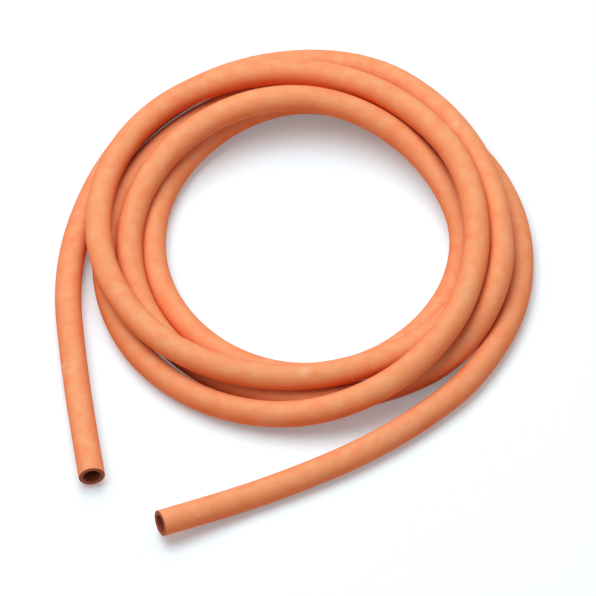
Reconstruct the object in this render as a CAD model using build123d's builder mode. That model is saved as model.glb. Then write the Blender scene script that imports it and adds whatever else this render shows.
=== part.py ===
"""Rubber gas tubing: one plain tube, both ends cut square, lying in a loose coil.

Millimetres, +Z up, and the floor is Z = 0. The tube comes in from its near end, winds
counter-clockwise through five turns that cross over one another, and ends in front on the left.
"""

import math
import os

from build123d import *

os.makedirs("parts", exist_ok=True)

# The tube's section
BORE = 8.0
WALL = 2.0
TUBE = BORE + 2 * WALL

# The lay is in shares of the tube's diameter, as strand rests on strand. The shift, from the coil's
# own middle, puts the part's box over the origin.
SHIFT_SHARES = (0.212, 2.992)

# Stations round each turn, anticlockwise from the front, and the point half way between two of them
STATIONS = 8
FIRST_ANGLE = -90.0
STEP = 360.0 / STATIONS / 2

# Radius of the tube's middle line at the eight stations of each turn
RADIUS_SHARES = (
    (None, 9.20, 8.25, 7.20, 6.65, 6.55, 7.25, 8.35),
    (8.65, 7.87, 6.55, 6.25, 6.60, 7.32, 7.65, 7.75),
    (7.35, 7.16, 7.23, 6.14, 5.75, 5.46, 5.56, 6.08),
    (6.66, 6.42, 6.17, 5.41, 5.20, 5.55, 6.40, 7.15),
    (7.68, 8.26, 7.43, 7.22, 7.60, 7.74, 8.35, None),
)

# Height of the middle line there, half a share being a strand that lies on the floor
HEIGHT_SHARES = (
    (None, 0.50, 0.50, 0.50, 0.50, 0.50, 0.50, 0.50),
    (0.85, 2.15, 2.25, 1.97, 1.72, 1.45, 1.50, 1.55),
    (1.50, 1.26, 0.65, 0.60, 1.10, 0.65, 0.50, 0.50),
    (0.50, 0.50, 0.65, 1.36, 2.00, 1.78, 1.15, 0.55),
    (0.50, 0.70, 1.70, 1.57, 0.95, 0.50, 0.50, None),
)
FLOOR_SHARE = 0.5

# Where strands cross, the radius and height half way from one station to the next: (turn, station)
CROSSING_SHARES = {
    (1, 0): (8.45, 1.60),
    (1, 1): (7.10, 2.25),
    (1, 2): (6.34, 2.18),
    (2, 0): (7.20, 1.45),
    (2, 1): (7.20, 0.98),
    (2, 2): (6.67, 0.50),
    (3, 0): (6.60, 0.50),
    (3, 1): (6.30, 0.50),
    (3, 2): (5.71, 1.00),
    (4, 0): (7.85, 0.50),
    (4, 1): (8.11, 1.75),
    (4, 2): (7.20, 1.62),
    (4, 3): (7.50, 1.35),
    (4, 5): (7.85, 0.50),
}

# The two free ends, by points chosen by hand: they lie on the floor and curl up a little at the tip
NEAR_END_SHARES = (
    (-5.25, -13.64, 0.92),
    (-2.65, -12.45, 0.50),
    (-0.10, -11.36, 0.50),
    (2.35, -10.12, 0.50),
    (4.60, -8.55, 0.50),
)
LEFT_END_SHARES = ((-8.85, -2.70, 0.50), (-8.60, -5.50, 0.50), (-8.25, -8.40, 0.50), (-7.82, -11.35, 0.68))

# Each bend takes this share of the shorter of its two runs
BEND_SHARE = 0.45


def half_way(values: list[float], index: int) -> float:
    """The value between two stations, from the smooth curve through them and their neighbours."""
    before = values[max(index - 1, 0)]
    after = values[min(index + 2, len(values) - 1)]
    return (9 * (values[index] + values[index + 1]) - before - after) / 16


def at(x_share: float, y_share: float, z_share: float) -> Vector:
    """A point of the middle line, from its shares about the coil's own middle."""
    return TUBE * Vector(x_share + SHIFT_SHARES[0], y_share + SHIFT_SHARES[1], z_share)


def coil_corners() -> list[Vector]:
    """Corners of the wound part, sixteen to a turn, which the bends then round off."""
    kept = [
        (turn, station)
        for turn in range(len(RADIUS_SHARES))
        for station in range(STATIONS)
        if RADIUS_SHARES[turn][station] is not None
    ]
    radii = [RADIUS_SHARES[turn][station] for turn, station in kept]
    heights = [HEIGHT_SHARES[turn][station] for turn, station in kept]

    corners = []
    for index, (turn, station) in enumerate(kept):
        angle = FIRST_ANGLE + 2 * STEP * station
        places = [(radii[index], heights[index], angle)]
        if index + 1 < len(kept):
            between = (half_way(radii, index), max(half_way(heights, index), FLOOR_SHARE))
            places.append((*CROSSING_SHARES.get((turn, station), between), angle + STEP))
        for radius, height, angle in places:
            # The line runs inside its corners, so they stand out by the half step's cosine.
            out = radius / math.cos(math.radians(STEP / 2))
            turned = math.radians(angle)
            corners.append(at(out * math.cos(turned), out * math.sin(turned), height))
    return corners


def bend_radii(corners: list[Vector]) -> list[float]:
    """One radius for each inner corner, so that the bends nearly meet along every run."""
    radii = []
    for before, corner, after in zip(corners, corners[1:], corners[2:]):
        arriving, leaving = corner - before, after - corner
        turn = math.radians(arriving.get_angle(leaving))
        reach = BEND_SHARE * min(arriving.length, leaving.length)
        radii.append(reach / math.tan(turn / 2))
    return radii


corners = (
    [at(*shares) for shares in NEAR_END_SHARES]
    + coil_corners()
    + [at(*shares) for shares in LEFT_END_SHARES]
)
radii = bend_radii(corners)

with BuildPart() as tubing:
    with BuildLine() as middle_line:
        FilletPolyline(*corners, radius=radii)
    with BuildSketch(Plane(origin=middle_line.line @ 0, z_dir=middle_line.line % 0)):
        Circle(TUBE / 2)
        Circle(BORE / 2, mode=Mode.SUBTRACT)
    sweep()
tubing.part.label = "tubing"
export_step(tubing.part, "parts/tubing.step")

length = middle_line.wires()[0].length
section = math.pi * (TUBE**2 - BORE**2) / 4
print("corners", len(corners), "length", round(length, 1), "mm")
print("bend radii", [round(radius) for radius in radii])
print("volume", round(tubing.part.volume), "section x length", round(section * length))
print("box", tubing.part.bounding_box())
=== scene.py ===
"""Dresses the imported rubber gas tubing: one matte orange tube in a loose coil on a white floor.

Metres, +Z up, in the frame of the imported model. The tube's middle line repeats the part's route as
the control points of a NURBS line, and the skin is built along that line: out over the outside,
round the cut rim, back through the bore and round the other rim.
"""

import logging
import math
from dataclasses import dataclass
from itertools import accumulate
from typing import Iterator, Sequence

import bpy
from mathutils import Matrix, Vector


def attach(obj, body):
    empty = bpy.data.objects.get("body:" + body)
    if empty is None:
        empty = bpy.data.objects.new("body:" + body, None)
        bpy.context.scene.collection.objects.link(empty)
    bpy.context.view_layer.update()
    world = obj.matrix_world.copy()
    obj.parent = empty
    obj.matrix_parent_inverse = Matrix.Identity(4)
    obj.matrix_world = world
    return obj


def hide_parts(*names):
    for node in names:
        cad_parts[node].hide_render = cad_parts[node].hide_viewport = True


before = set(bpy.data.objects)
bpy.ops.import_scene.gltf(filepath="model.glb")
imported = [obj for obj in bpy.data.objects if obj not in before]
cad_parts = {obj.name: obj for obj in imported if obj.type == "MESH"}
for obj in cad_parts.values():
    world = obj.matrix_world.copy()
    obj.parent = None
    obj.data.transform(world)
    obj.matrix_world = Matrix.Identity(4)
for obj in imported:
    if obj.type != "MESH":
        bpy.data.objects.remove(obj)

LOG = logging.getLogger("scene")
IMAGE_SIDE = 596
MM = 0.001


def rgb(code: str) -> tuple[float, float, float, float]:
    """Turns an sRGB hex colour into the linear colour that shader sockets take.

    Args:
        code: Six hex digits with a leading hash.

    Returns:
        Linear red, green and blue, and an alpha of one.
    """
    channels = [int(code[i : i + 2], 16) / 255 for i in (1, 3, 5)]
    linear = [c / 12.92 if c <= 0.04045 else ((c + 0.055) / 1.055) ** 2.4 for c in channels]
    return (linear[0], linear[1], linear[2], 1.0)


@dataclass(frozen=True)
class TubeSection:
    """The tube's section, the small rounding of its cut rims, and how finely the skin is made."""

    bore: float = 8.0 * MM
    wall: float = 2.0 * MM
    rim: float = 0.3 * MM
    rim_steps: int = 4
    sides: int = 44
    line_steps: int = 6

    @property
    def outside(self) -> float:
        """Outside diameter."""
        return self.bore + 2 * self.wall


@dataclass(frozen=True)
class CoilLay:
    """How the tube lies, in shares of its diameter about the coil's own middle, as in the part.

    The stations go round each turn anticlockwise from the front, eight to a turn. Where strands
    cross, the crossings give the radius and height half way from a station to the next one.
    """

    shift: tuple[float, float] = (0.212, 2.992)
    first_angle: float = -90.0
    stations: int = 8
    floor: float = 0.5
    radii: tuple[tuple[float | None, ...], ...] = (
        (None, 9.20, 8.25, 7.20, 6.65, 6.55, 7.25, 8.35),
        (8.65, 7.87, 6.55, 6.25, 6.60, 7.32, 7.65, 7.75),
        (7.35, 7.16, 7.23, 6.14, 5.75, 5.46, 5.56, 6.08),
        (6.66, 6.42, 6.17, 5.41, 5.20, 5.55, 6.40, 7.15),
        (7.68, 8.26, 7.43, 7.22, 7.60, 7.74, 8.35, None),
    )
    heights: tuple[tuple[float | None, ...], ...] = (
        (None, 0.50, 0.50, 0.50, 0.50, 0.50, 0.50, 0.50),
        (0.85, 2.15, 2.25, 1.97, 1.72, 1.45, 1.50, 1.55),
        (1.50, 1.26, 0.65, 0.60, 1.10, 0.65, 0.50, 0.50),
        (0.50, 0.50, 0.65, 1.36, 2.00, 1.78, 1.15, 0.55),
        (0.50, 0.70, 1.70, 1.57, 0.95, 0.50, 0.50, None),
    )
    crossings: tuple[tuple[int, int, float, float], ...] = (
        (1, 0, 8.45, 1.60),
        (1, 1, 7.10, 2.25),
        (1, 2, 6.34, 2.18),
        (2, 0, 7.20, 1.45),
        (2, 1, 7.20, 0.98),
        (2, 2, 6.67, 0.50),
        (3, 0, 6.60, 0.50),
        (3, 1, 6.30, 0.50),
        (3, 2, 5.71, 1.00),
        (4, 0, 7.85, 0.50),
        (4, 1, 8.11, 1.75),
        (4, 2, 7.20, 1.62),
        (4, 3, 7.50, 1.35),
        (4, 5, 7.85, 0.50),
    )
    near_end: tuple[tuple[float, float, float], ...] = (
        (-5.25, -13.64, 0.92),
        (-2.65, -12.45, 0.50),
        (-0.10, -11.36, 0.50),
        (2.35, -10.12, 0.50),
        (4.60, -8.55, 0.50),
    )
    left_end: tuple[tuple[float, float, float], ...] = (
        (-8.85, -2.70, 0.50),
        (-8.60, -5.50, 0.50),
        (-8.25, -8.40, 0.50),
        (-7.82, -11.35, 0.68),
    )


@dataclass(frozen=True)
class Pattern:
    """Noise on the straight tube, of one size or drawn out to a longer run along the tube."""

    size_mm: float
    detail: float
    run_mm: float | None = None

    @property
    def scale(self) -> tuple[float, float, float]:
        """How often the pattern repeats in a metre, across the tube twice and along it."""
        across, along = 1 / (self.size_mm * MM), 1 / ((self.run_mm or self.size_mm) * MM)
        return (across, across, along)


@dataclass(frozen=True)
class Tone:
    """A colour that lies over the rubber where a pattern is strong.

    Below the low value there is none of it, and from the high value on there is its full share.
    """

    colour: str
    pattern: Pattern
    low: float
    high: float
    share: float = 1.0


@dataclass(frozen=True)
class RubberFinish:
    """Vulcanised rubber, extruded through a die and dusted against sticking.

    To the eye it is matte. Its colour drifts, the die's drag lines run along it, a painted sheen
    pales its upper side, a faint bloom lies on it in clouds, and painted shade darkens its cut ends
    and bore. The drag lines and the grain are drawn coarser than the real ones, so that they show
    in the render.
    A scuff is a place on the tube, in millimetres in the frame, and its reach.
    """

    slot: str = "tubing"
    colour: str = "#F07C44"
    drift: Tone = Tone("#E96932", Pattern(38.0, 3.0), 0.35, 0.70)
    drag: Tone = Tone("#E96932", Pattern(0.9, 2.0, run_mm=70.0), 0.45, 0.80, 0.60)
    # Painted sheen: a paler tone on the upper side, standing in for the highlight of the light
    # above.
    top_sheen: Tone = Tone("#E9AE80", Pattern(6.0, 4.0), -0.10, 0.80, 0.85)
    bloom: Tone = Tone("#E9AE80", Pattern(13.0, 5.0), 0.50, 0.85, 0.25)
    dust: Tone = Tone("#F6D0B4", Pattern(2.6, 2.0), 0.70, 0.82, 0.22)
    worn: Tone = Tone("#F6D0B4", Pattern(2.6, 2.0), 0.35, 0.65, 0.35)
    # Painted shade: darker cut faces and a still darker bore, standing in for the shade that falls
    # in them.
    cut: str = "#9C4C30"
    inside: str = "#8A442B"
    roughness: float = 0.68
    specular: float = 0.2
    upward: tuple[float, float] = (0.1, 1.0)
    grain: Pattern = Pattern(0.5, 3.0)
    relief: float = 0.06 * MM
    relief_strength: float = 0.4
    scuffs: tuple[tuple[float, float, float, float], ...] = (
        (-104.0, -42.0, 9.0, 7.0),
        (4.8, -53.5, 24.0, 4.0),
        (71.6, 82.0, 25.0, 5.0),
    )
    scuff_core: float = 0.3


@dataclass(frozen=True)
class StudioLook:
    """Floor, backdrop, lamps and camera of the photograph.

    The surround is dimmer in front than behind, and the span says between which two levels of the
    direction's Y it changes. The camera and reflections see it white instead.
    """

    floor: str = "#DDEBF1"
    floor_glow: float = 0.18
    floor_roughness: float = 0.9
    floor_side: float = 12.0
    sky: str = "#FFFFFF"
    sky_front: float = 0.31
    sky_back: float = 0.50
    sky_span: tuple[float, float] = (-0.8, 0.6)
    sky_seen: float = 1.0
    key_power: float = 65.0
    key_size: tuple[float, float] = (2.8, 1.8)
    key_place: tuple[float, float, float] = (-0.50, 0.45, 2.55)
    elevation: float = 55.0
    distance: float = 8.0
    pixels_per_metre: float = 2200.0
    sensor_mm: float = 36.0
    look_at: tuple[float, float, float] = (1.6 * MM, 3.7 * MM, 0.0)


class Nodes:
    """A material's or world's node tree, emptied, with one call to add and join nodes."""

    def __init__(self, owner: bpy.types.Material | bpy.types.World) -> None:
        """Empties the owner's tree.

        Args:
            owner: The material or world to build.
        """
        owner.use_nodes = True
        self.tree = owner.node_tree
        self.tree.nodes.clear()

    def add(self, kind: str, out: str = "", **values: object) -> bpy.types.NodeSocket | None:
        """Adds a node with its properties, inputs and links.

        Args:
            kind: The node's type name, without the ShaderNode in front.
            out: The name of the output that is wanted, or nothing for the first one.
            **values: Properties by name, then inputs by name with spaces as underscores. An output
                socket is joined, and a list goes to the inputs that share a name, in order.

        Returns:
            The output, or nothing where the node has none.

        Raises:
            KeyError: The node has no such input.
        """
        node = self.tree.nodes.new("ShaderNode" + kind)
        for name, value in values.items():
            if hasattr(node, name):
                setattr(node, name, value)
                continue
            label = name.replace("_", " ")
            sockets = [s for s in node.inputs if s.enabled and s.name == label]
            if not sockets:
                raise KeyError(f"{kind} has no input {label}")
            for socket, item in zip(sockets, value if isinstance(value, list) else [value]):
                if isinstance(item, bpy.types.NodeSocket):
                    self.tree.links.new(item, socket)
                else:
                    socket.default_value = item
        return next((s for s in node.outputs if s.enabled and out in ("", s.name)), None)

    def plain_sight(self) -> bpy.types.NodeSocket:
        """Tells what the camera sees, also in a reflection or through glass.

        Returns:
            One for such a ray, else nought.
        """
        paths = self.add("LightPath").node.outputs
        seen = paths["Is Camera Ray"]
        for kind in ("Is Glossy Ray", "Is Transmission Ray"):
            seen = self.add("Math", operation="MAXIMUM", Value=[seen, paths[kind]])
        return seen


class Route:
    """The tube's middle line, from the near end through the coil to the left end."""

    def __init__(self, lay: CoilLay, diameter: float) -> None:
        """Keeps the lay and the unit that its shares are of.

        Args:
            lay: How the tube lies.
            diameter: The tube's outside diameter.
        """
        self.lay = lay
        self.diameter = diameter

    def at(self, x: float, y: float, z: float) -> Vector:
        """A control point from its shares.

        Args:
            x: Share to the right of the coil's middle.
            y: Share behind it.
            z: Share above the floor.

        Returns:
            The point in the frame, in metres.
        """
        across, away = self.lay.shift
        return self.diameter * Vector((x + across, y + away, z))

    @staticmethod
    def half_way(values: Sequence[float], index: int) -> float:
        """The value between two stations, from the smooth curve through them and their neighbours.

        Args:
            values: One value for each station in turn.
            index: The station before the place.

        Returns:
            The value half way to the next station.
        """
        before = values[max(index - 1, 0)]
        after = values[min(index + 2, len(values) - 1)]
        return (9 * (values[index] + values[index + 1]) - before - after) / 16

    def coil(self) -> Iterator[Vector]:
        """The wound part's control points, sixteen to a turn.

        Yields:
            Each point in turn.
        """
        lay = self.lay
        step = 180.0 / lay.stations
        crossings = {(turn, station): place for turn, station, *place in lay.crossings}
        kept = [
            (turn, station)
            for turn, row in enumerate(lay.radii)
            for station, radius in enumerate(row)
            if radius is not None
        ]
        radii = [lay.radii[turn][station] for turn, station in kept]
        heights = [lay.heights[turn][station] for turn, station in kept]
        for index, (turn, station) in enumerate(kept):
            angle = lay.first_angle + 2 * step * station
            places = [(radii[index], heights[index], angle)]
            if index + 1 < len(kept):
                between = (
                    self.half_way(radii, index),
                    max(self.half_way(heights, index), lay.floor),
                )
                places.append((*crossings.get((turn, station), between), angle + step))
            for radius, height, degrees in places:
                # The line runs inside its control points, so they stand out by this cosine.
                out = radius / math.cos(math.radians(step / 2))
                turned = math.radians(degrees)
                yield self.at(out * math.cos(turned), out * math.sin(turned), height)

    def control_points(self) -> list[Vector]:
        """All control points, from the near end to the left end.

        Returns:
            The points in the frame, in metres.
        """
        near = [self.at(*shares) for shares in self.lay.near_end]
        left = [self.at(*shares) for shares in self.lay.left_end]
        return [*near, *self.coil(), *left]

    def line(self, resolution: int) -> list[Vector]:
        """Points read from the NURBS line of the control points.

        Args:
            resolution: How many points for each control point.

        Returns:
            The points in order.
        """
        points = self.control_points()
        curve = bpy.data.curves.new("middle_line", "CURVE")
        curve.dimensions = "3D"
        spline = curve.splines.new("NURBS")
        spline.points.add(len(points) - 1)
        for point, place in zip(spline.points, points):
            point.co = (*place, 1.0)
        spline.order_u = 3
        spline.use_endpoint_u = True
        spline.resolution_u = resolution
        holder = bpy.data.objects.new("middle_line", curve)
        bpy.context.scene.collection.objects.link(holder)
        mesh = bpy.data.meshes.new_from_object(holder)
        line = [vertex.co.copy() for vertex in mesh.vertices]
        bpy.data.objects.remove(holder)
        bpy.data.meshes.remove(mesh)
        bpy.data.curves.remove(curve)
        return line


@dataclass(frozen=True)
class Loop:
    """One loop of the skin: where it lies, where it is on the straight tube, and how far inside.

    The outside is nought, a cut face is one and the bore is two.
    """

    points: list[Vector]
    laid: list[Vector]
    depth: float


class TubeSkin:
    """The tube's mesh: a closed skin of loops along the outside, the rims and the bore."""

    def __init__(self, section: TubeSection, line: Sequence[Vector]) -> None:
        """Keeps the section and the line that the skin follows.

        Args:
            section: The tube's section.
            line: The ring centres.
        """
        self.section = section
        self.line = line
        self.axes = self._axes()
        steps = ((b - a).length for a, b in zip(line, line[1:]))
        self.runs = list(accumulate(steps, initial=0.0))

    def _axes(self) -> list[Matrix]:
        """A frame for each ring, carried along the line without twisting.

        Returns:
            Matrices whose columns are the ring's two cross axes and the line's direction.
        """
        last = len(self.line) - 1
        across = Vector((0.0, 0.0, 1.0))
        axes = []
        for index in range(last + 1):
            ahead = self.line[min(index + 1, last)] - self.line[max(index - 1, 0)]
            ahead.normalize()
            across = (across - across.dot(ahead) * ahead).normalized()
            axes.append(Matrix((across, ahead.cross(across), ahead)).transposed())
        return axes

    def _loop(self, index: int, radius: float, along: float = 0.0, depth: float = 0.0) -> Loop:
        """One loop of the skin.

        Args:
            index: The ring whose centre and axes it takes.
            radius: The loop's radius.
            along: How far it is moved along the line.
            depth: How far inside it is, from nought to two.

        Returns:
            The loop.
        """
        turns = [2 * math.pi * side / self.section.sides for side in range(self.section.sides)]
        ring = [Vector((radius * math.cos(a), radius * math.sin(a), along)) for a in turns]
        run = Vector((0.0, 0.0, self.runs[index]))
        points = [self.line[index] + self.axes[index] @ place for place in ring]
        return Loop(points, [place + run for place in ring], depth)

    def _rim(self, index: int, inward: float) -> Iterator[Loop]:
        """The rounded rim of a cut end, from the outside to the bore.

        Args:
            index: The end's ring.
            inward: One where the tube lies ahead of the ring along the line, else minus one.

        Yields:
            The rim's loops.
        """
        section = self.section
        outer, bore = section.outside / 2, section.bore / 2
        quarter = [math.pi / 2 * k / section.rim_steps for k in range(section.rim_steps + 1)]
        for angle in quarter:
            radius = outer - section.rim * (1 - math.cos(angle))
            along = inward * section.rim * (1 - math.sin(angle))
            yield self._loop(index, radius, along, math.sin(angle))
        for angle in reversed(quarter):
            radius = bore + section.rim * (1 - math.cos(angle))
            along = inward * section.rim * (1 - math.sin(angle))
            yield self._loop(index, radius, along, 2 - math.sin(angle))

    def loops(self) -> list[Loop]:
        """All loops in order, the last of which meets the first.

        Returns:
            The loops.
        """
        last = len(self.line) - 1
        inner = range(1, last)
        outside, bore = self.section.outside / 2, self.section.bore / 2
        loops = [self._loop(index, outside) for index in inner]
        loops += self._rim(last, -1.0)
        loops += [self._loop(index, bore, depth=2.0) for index in reversed(inner)]
        loops += reversed(list(self._rim(0, 1.0)))
        return loops

    def build(self, name: str) -> bpy.types.Object:
        """Makes the tube's object.

        Args:
            name: The piece's name.

        Returns:
            The linked object.
        """
        loops = self.loops()
        sides = self.section.sides
        vertices = [point for loop in loops for point in loop.points]
        faces = []
        for row in range(len(loops)):
            here, there = row * sides, (row + 1) % len(loops) * sides
            for side in range(sides):
                beside = (side + 1) % sides
                faces.append((here + side, here + beside, there + beside, there + side))
        mesh = bpy.data.meshes.new(name)
        mesh.from_pydata(vertices, [], faces)
        mesh.polygons.foreach_set("use_smooth", [True] * len(faces))
        laid = mesh.attributes.new("laid", "FLOAT_VECTOR", "POINT")
        laid.data.foreach_set("vector", [c for loop in loops for place in loop.laid for c in place])
        depth = mesh.attributes.new("depth", "FLOAT", "POINT")
        depth.data.foreach_set("value", [loop.depth for loop in loops for _ in range(sides)])
        mesh.update()
        tube = bpy.data.objects.new(name, mesh)
        bpy.context.scene.collection.objects.link(tube)
        LOG.info("%s: %d loops, %d faces", name, len(loops), len(faces))
        return tube


class RubberMaterial:
    """The tube's material, with patterns laid out on the straight tube to follow it round."""

    def __init__(self, finish: RubberFinish) -> None:
        """Starts the material.

        Args:
            finish: The rubber's look.
        """
        self.finish = finish
        self.material = bpy.data.materials.new("orange_rubber")
        self.nodes = Nodes(self.material)
        self.laid = self.nodes.add("Attribute", out="Vector", attribute_name="laid")

    def strength(self, pattern: Pattern) -> bpy.types.NodeSocket:
        """A pattern's strength at each place.

        Args:
            pattern: The pattern.

        Returns:
            A value from nought to one.
        """
        scaled = self.nodes.add("Mapping", Vector=self.laid, Scale=pattern.scale)
        return self.nodes.add("TexNoise", Vector=scaled, Scale=1.0, Detail=pattern.detail)

    def share(self, tone: Tone) -> bpy.types.NodeSocket:
        """How much of a tone lies at each place.

        Args:
            tone: The tone.

        Returns:
            A value from nought to the tone's full share.
        """
        strength = self.strength(tone.pattern)
        return self.nodes.add(
            "MapRange", Value=strength, From_Min=tone.low, From_Max=tone.high, To_Max=tone.share
        )

    def top_sheen(self) -> bpy.types.NodeSocket:
        """The share of the painted sheen, which grows as the surface faces up towards the light.

        Returns:
            A value from nought to the painted sheen's full share.
        """
        low, high = self.finish.upward
        # Painted sheen: stronger as the surface's normal points up towards the light, broken into
        # patches.
        normal = self.nodes.add("NewGeometry", out="Normal")
        rise = self.nodes.add("SeparateXYZ", out="Z", Vector=normal)
        upward = self.nodes.add("MapRange", Value=rise, From_Min=low, From_Max=high)
        sheen_patches = self.share(self.finish.top_sheen)
        return self.nodes.add("Math", operation="MULTIPLY", Value=[upward, sheen_patches])

    def scuff(self, place: Sequence[float], reach: float) -> bpy.types.NodeSocket:
        """The share of one scuff, which fades out from its core.

        Args:
            place: Its middle in the frame, in metres.
            reach: Its radius, in metres.

        Returns:
            A value from nought to the scuff's full share.
        """
        here = self.nodes.add("TexCoord", out="Object")
        away = self.nodes.add(
            "VectorMath", out="Value", operation="DISTANCE", Vector=[here, tuple(place)]
        )
        core = self.finish.scuff_core * reach
        patch = self.nodes.add("MapRange", Value=away, From_Min=reach, From_Max=core)
        worn = self.share(self.finish.worn)
        return self.nodes.add("Math", operation="MULTIPLY", Value=[patch, worn])

    def layers(self) -> Iterator[tuple[str, bpy.types.NodeSocket]]:
        """The colours over the rubber's own, from the lowest up.

        Yields:
            Each colour and its share.
        """
        finish = self.finish
        yield finish.drift.colour, self.share(finish.drift)
        yield finish.drag.colour, self.share(finish.drag)
        # Painted sheen: the upper side paler where the light falls on it.
        yield finish.top_sheen.colour, self.top_sheen()
        yield finish.bloom.colour, self.share(finish.bloom)
        yield finish.dust.colour, self.share(finish.dust)
        for *place, reach in finish.scuffs:
            yield finish.worn.colour, self.scuff([c * MM for c in place], reach * MM)
        # Painted shade: the cut faces darker and the bore darker still, by how far inside each loop
        # lies.
        depth = self.nodes.add("Attribute", out="Fac", attribute_name="depth")
        for start, colour in enumerate((finish.cut, finish.inside)):
            yield colour, self.nodes.add(
                "MapRange", Value=depth, From_Min=float(start), From_Max=float(start + 1)
            )

    def build(self) -> bpy.types.Material:
        """Joins the colours, the relief and the shader.

        Returns:
            The finished material.
        """
        finish = self.finish
        colour = rgb(finish.colour)
        for over, share in self.layers():
            colour = self.nodes.add(
                "Mix", data_type="RGBA", Factor=share, A=colour, B=rgb(over)
            )
        height = self.nodes.add(
            "Math",
            operation="ADD",
            Value=[self.strength(finish.grain), self.strength(finish.drag.pattern)],
        )
        bump = self.nodes.add(
            "Bump", Height=height, Strength=finish.relief_strength, Distance=finish.relief
        )
        shader = self.nodes.add(
            "BsdfPrincipled",
            Base_Color=colour,
            Roughness=finish.roughness,
            Specular_IOR_Level=finish.specular,
            Normal=bump,
        )
        self.nodes.add("OutputMaterial", Surface=shader)
        return self.material


class Dresser:
    """Builds the tube, the studio and the camera."""

    def __init__(self, section: TubeSection, finish: RubberFinish, studio: StudioLook) -> None:
        """Keeps what the scene is made from.

        Args:
            section: The tube's section.
            finish: The rubber's look.
            studio: The studio's look.
        """
        self.section = section
        self.finish = finish
        self.studio = studio

    def tubing(self) -> bpy.types.Object:
        """The tube, which takes the place of the CAD solid.

        Returns:
            The tube's object.
        """
        route = Route(CoilLay(), self.section.outside)
        line = route.line(self.section.line_steps)
        tube = TubeSkin(self.section, line).build("rubber_tubing")
        tube.data.materials.append(RubberMaterial(self.finish).build())
        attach(tube, "root")
        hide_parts("tubing")
        length = sum((b - a).length for a, b in zip(line, line[1:]))
        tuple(line[0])
        self.section.outside
        LOG.info("tube length %.3f m", length)
        return tube

    def floor(self) -> bpy.types.Object:
        """The plain white floor, which keeps the tube's shadow.

        Returns:
            The floor's object.
        """
        studio = self.studio
        half = studio.floor_side / 2
        corners = [(-half, -half, 0), (half, -half, 0), (half, half, 0), (-half, half, 0)]
        mesh = bpy.data.meshes.new("floor")
        mesh.from_pydata(corners, [], [(0, 1, 2, 3)])
        floor = bpy.data.objects.new("floor", mesh)
        bpy.context.scene.collection.objects.link(floor)
        material = bpy.data.materials.new("white_floor")
        nodes = Nodes(material)
        glow = nodes.add("MapRange", Value=nodes.plain_sight(), To_Max=studio.floor_glow)
        shader = nodes.add(
            "BsdfPrincipled",
            Base_Color=rgb(studio.floor),
            Roughness=studio.floor_roughness,
            Specular_IOR_Level=0.0,
            Emission_Color=rgb(studio.sky),
            Emission_Strength=glow,
        )
        nodes.add("OutputMaterial", Surface=shader)
        mesh.materials.append(material)
        return floor

    def lights(self) -> None:
        """The soft key lamp above and behind, and the white surround."""
        studio = self.studio
        lamp = bpy.data.lights.new("key", "AREA")
        lamp.energy = studio.key_power
        lamp.shape = "RECTANGLE"
        lamp.size, lamp.size_y = studio.key_size
        key = bpy.data.objects.new("key", lamp)
        key.location = studio.key_place
        key.rotation_euler = (-Vector(studio.key_place)).to_track_quat("-Z", "Y").to_euler()
        bpy.context.scene.collection.objects.link(key)

        world = bpy.data.worlds.new("surround")
        bpy.context.scene.world = world
        nodes = Nodes(world)
        front, back = studio.sky_span
        away = nodes.add("SeparateXYZ", out="Y", Vector=nodes.add("TexCoord", out="Generated"))
        dimming = nodes.add(
            "MapRange",
            Value=away,
            From_Min=front,
            From_Max=back,
            To_Min=studio.sky_front,
            To_Max=studio.sky_back,
        )
        soft = nodes.add("Background", Color=rgb(studio.sky), Strength=dimming)
        seen = nodes.add("Background", Color=rgb(studio.sky), Strength=studio.sky_seen)
        both = nodes.add("MixShader", Fac=nodes.plain_sight(), Shader=[soft, seen])
        nodes.add("OutputWorld", Surface=both)

    def camera(self) -> None:
        """The photograph's camera: a long lens, from the front and well above."""
        studio = self.studio
        data = bpy.data.cameras.new("camera")
        data.sensor_width = studio.sensor_mm
        data.sensor_fit = "HORIZONTAL"
        data.lens = studio.sensor_mm * studio.pixels_per_metre * studio.distance / IMAGE_SIDE
        data.clip_end = 4 * studio.distance
        camera = bpy.data.objects.new("camera", data)
        rise = math.radians(studio.elevation)
        back = Vector((0.0, -math.cos(rise), math.sin(rise)))
        camera.location = Vector(studio.look_at) + studio.distance * back
        camera.rotation_euler = (-back).to_track_quat("-Z", "Y").to_euler()
        bpy.context.scene.collection.objects.link(camera)
        bpy.context.scene.camera = camera


def main() -> None:
    """Builds the scene."""
    logging.basicConfig(level=logging.INFO, format="%(message)s")
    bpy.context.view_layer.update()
    bpy.context.scene.view_settings.view_transform = "Standard"
    dresser = Dresser(TubeSection(), RubberFinish(), StudioLook())
    dresser.camera()
    dresser.tubing()
    dresser.floor()
    dresser.lights()


if __name__ == "__main__":
    main()
